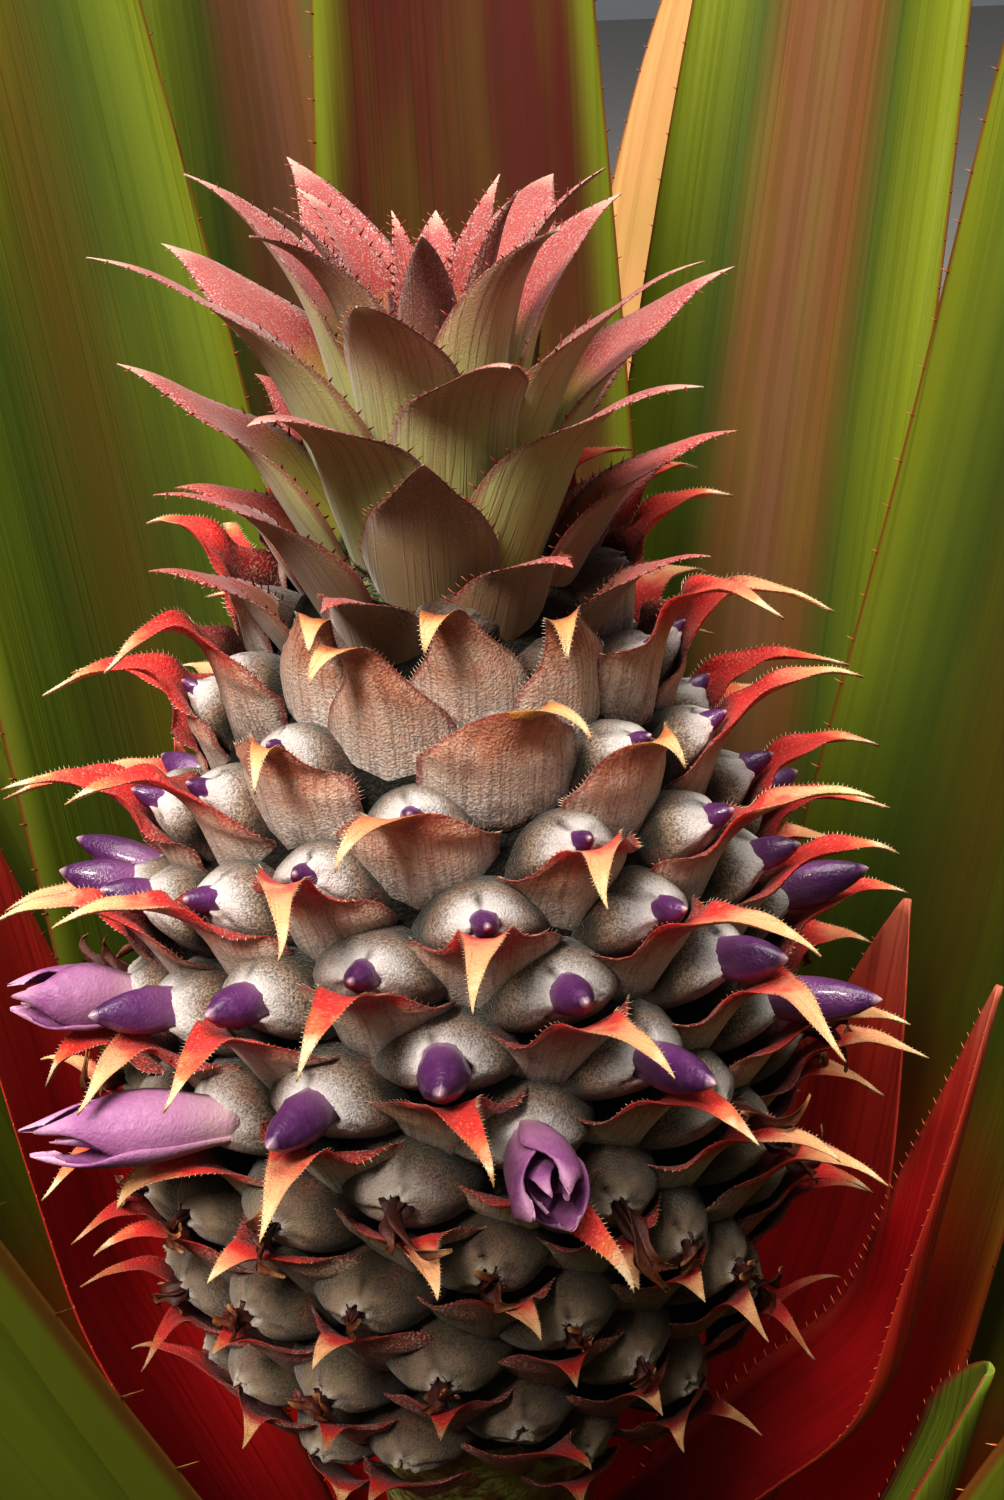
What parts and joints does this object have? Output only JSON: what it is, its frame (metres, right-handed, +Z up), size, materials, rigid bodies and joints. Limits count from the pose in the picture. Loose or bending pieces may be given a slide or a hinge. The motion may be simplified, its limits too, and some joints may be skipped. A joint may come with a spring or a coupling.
{
  "type": "flowering pineapple plant",
  "caption": "Rooted pineapple plant in flower: rosette of channelled sword leaves on a short stem, red heart leaves, spiral fruit of eyes and hooked bracts, leafy crown.",
  "frame": {"origin": "middle of the flat cut under the stem, at ground level", "axes": "+Z up along the stem and fruit; -Y towards the side the rosette opens on; +X to the right seen from there"},
  "size_m": [1.0202, 1.0701, 0.6889],
  "materials": {
    "stem": "rough, fibrous",
    "stalk": "smooth, matt",
    "fruit": "scurfy, matt",
    "crown": "scurfy, matt",
    "leaf": "waxy, low sheen",
    "heart_leaf": "waxy, low sheen"
  },
  "bodies": {
    "root": {"stem": "stem", "fruit_stalk": "stalk", "fruit": "fruit", "crown": "crown", "leaf_01": "leaf", "leaf_02": "leaf", "leaf_03": "leaf", "leaf_04": "leaf", "leaf_05": "leaf", "leaf_06": "leaf", "leaf_07": "leaf", "leaf_08": "leaf", "leaf_09": "leaf", "leaf_10": "leaf", "leaf_11": "leaf", "leaf_12": "leaf", "leaf_13": "leaf", "leaf_14": "leaf", "leaf_15": "leaf", "leaf_16": "leaf", "leaf_17": "leaf", "leaf_18": "leaf", "leaf_19": "leaf", "leaf_20": "leaf", "leaf_21": "leaf", "leaf_22": "leaf", "leaf_23": "leaf", "leaf_24": "leaf", "leaf_25": "leaf", "leaf_26": "leaf", "leaf_27": "leaf", "leaf_28": "leaf", "leaf_29": "leaf", "leaf_30": "leaf", "leaf_31": "leaf", "leaf_32": "leaf", "leaf_33": "leaf", "heart_leaf_01": "heart_leaf", "heart_leaf_02": "heart_leaf", "heart_leaf_03": "heart_leaf", "heart_leaf_04": "heart_leaf", "heart_leaf_05": "heart_leaf", "heart_leaf_06": "heart_leaf", "heart_leaf_07": "heart_leaf", "heart_leaf_08": "heart_leaf", "heart_leaf_09": "heart_leaf", "heart_leaf_10": "heart_leaf"}
  },
  "joints": []
}
